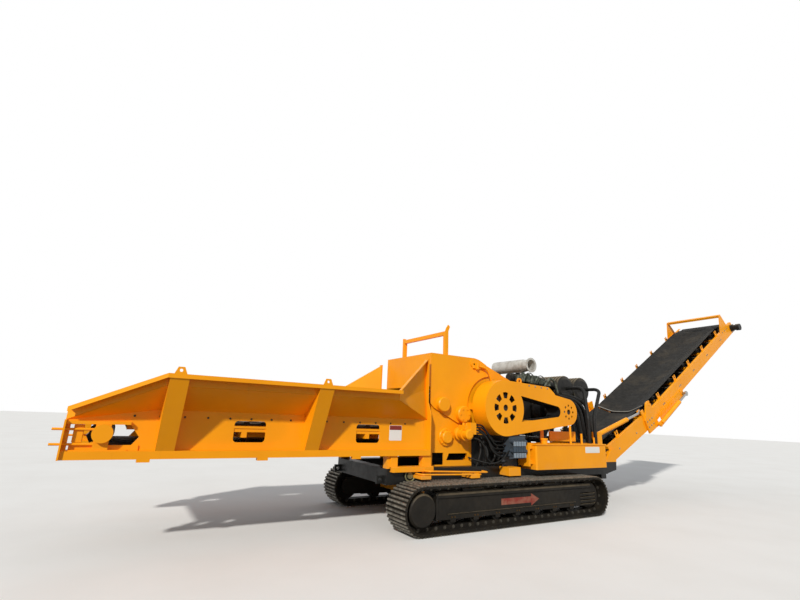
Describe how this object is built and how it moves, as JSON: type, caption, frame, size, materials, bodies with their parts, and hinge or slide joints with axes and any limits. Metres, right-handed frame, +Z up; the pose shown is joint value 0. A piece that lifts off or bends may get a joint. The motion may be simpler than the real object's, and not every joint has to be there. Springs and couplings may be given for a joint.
{
  "type": "horizontal grinder",
  "caption": "Tracked horizontal grinder with a long feed hopper with a chain floor, a rotor under a hinged pressure-roller box, an open engine bay and a folding discharge conveyor",
  "frame": {"origin": "on the ground under the middle of the machine's length, in its middle plane", "axes": "+X from the feed hopper's tail to the discharge conveyor's head, +Y away from the belt guard's side, +Z up"},
  "size_m": [14.9371, 2.55, 4.5227],
  "materials": {
    "yellow_paint": "satin",
    "track_steel": "worn",
    "frame_paint": "matte",
    "black_rubber": "matte",
    "black_paint": "satin",
    "muffler_steel": "stained",
    "chrome": "polished",
    "bare_steel": "worn",
    "valve_grey": "satin"
  },
  "bodies": {
    "chassis": {"track_right": "track_steel", "track_left": "track_steel", "track_frames": "frame_paint", "track_wheels": "frame_paint", "undercarriage_beams": "yellow_paint", "main_frame": "yellow_paint", "hopper_walls": "yellow_paint", "hopper_floor": "yellow_paint", "feed_chain": "track_steel", "floor_shafts": "bare_steel", "take_ups": "yellow_paint", "housing_plates": "yellow_paint", "housing_bearings": "yellow_paint", "belt_guard": "yellow_paint", "drive_belts": "black_rubber", "tanks": "yellow_paint", "engine_block": "black_paint", "engine_frame": "black_paint", "radiator": "black_paint", "muffler": "muffler_steel", "air_filters": "black_paint", "valve_bank": "valve_grey", "feed_motor": "yellow_paint", "hoses": "black_rubber", "base_conveyor": "yellow_paint", "base_belt": "black_rubber"},
    "rotor": {"rotor": "bare_steel"},
    "engine_pulley": {"engine_pulley": "bare_steel"},
    "feed_box": {"roller_box": "yellow_paint"},
    "feed_roller": {"feed_roller": "bare_steel"},
    "conveyor_lower": {"lower_frame": "yellow_paint", "lower_belt": "black_rubber", "lower_idlers": "black_paint"},
    "lift_barrel": {"lift_barrels": "yellow_paint"},
    "lift_rod": {"lift_rods": "chrome"},
    "conveyor_upper": {"upper_frame": "yellow_paint", "upper_belt": "black_rubber", "upper_idlers": "black_paint", "head_motor": "yellow_paint"},
    "head_drum": {"head_drum": "bare_steel"},
    "fold_barrel": {"fold_barrels": "yellow_paint"},
    "fold_rod": {"fold_rods": "chrome"}
  },
  "joints": [
    {"name": "rotor_spin", "type": "hinge", "parent": "chassis", "child": "rotor", "pos_m": [-1.788, 0, 1.645], "axis": [0, 1, 0], "continuous": true},
    {"name": "engine_pulley_spin", "type": "hinge", "parent": "chassis", "child": "engine_pulley", "pos_m": [-0.278, 0, 1.635], "axis": [0, 1, 0], "continuous": true},
    {"name": "feed_box_swing", "type": "hinge", "parent": "chassis", "child": "feed_box", "pos_m": [-2.168, 0, 2.33], "axis": [0, 1, 0], "range_deg": [0, 18]},
    {"name": "feed_roller_spin", "type": "hinge", "parent": "feed_box", "child": "feed_roller", "pos_m": [-2.798, 0, 1.65], "axis": [0, 1, 0], "continuous": true},
    {"name": "conveyor_lift", "type": "hinge", "parent": "chassis", "child": "conveyor_lower", "pos_m": [1.282, 0, 0.896], "axis": [0, -1, 0], "range_deg": [-8, 6]},
    {"name": "lift_barrel_swing", "type": "hinge", "parent": "chassis", "child": "lift_barrel", "pos_m": [0.942, 0, 1.245], "axis": [0, -1, 0], "range_deg": [-7.38, 5.66]},
    {"name": "lift_rod_slide", "type": "slide", "parent": "lift_barrel", "child": "lift_rod", "axis": [0.9547, 0, 0.2975], "range_m": [-0.04993, 0.06491]},
    {"name": "conveyor_fold", "type": "hinge", "parent": "conveyor_lower", "child": "conveyor_upper", "pos_m": [2.7025, 0, 1.9049], "axis": [0, -1, 0], "range_deg": [0, 110]},
    {"name": "fold_barrel_swing", "type": "hinge", "parent": "conveyor_lower", "child": "fold_barrel", "pos_m": [2.98415, 0, 1.50846], "axis": [0, -1, 0], "range_deg": [-0.5, 96]},
    {"name": "fold_rod_slide", "type": "slide", "parent": "fold_barrel", "child": "fold_rod", "axis": [0.8628, 0, 0.5056], "range_m": [-0.005, 0.73092]},
    {"name": "head_drum_spin", "type": "hinge", "parent": "conveyor_upper", "child": "head_drum", "pos_m": [7.31253, 0, 4.22009], "axis": [0, 1, 0], "continuous": true}
  ],
  "couplings": [
    {"joint": "engine_pulley_spin", "follows": "rotor_spin", "ratio": 2.4286},
    {"joint": "lift_barrel_swing", "follows": "conveyor_lift", "ratio": 0.85948},
    {"joint": "lift_rod_slide", "follows": "conveyor_lift", "m_per_rad": -0.42904},
    {"joint": "fold_barrel_swing", "follows": "conveyor_fold", "ratio": 0.86818},
    {"joint": "fold_rod_slide", "follows": "conveyor_fold", "m_per_rad": 0.37811}
  ]
}
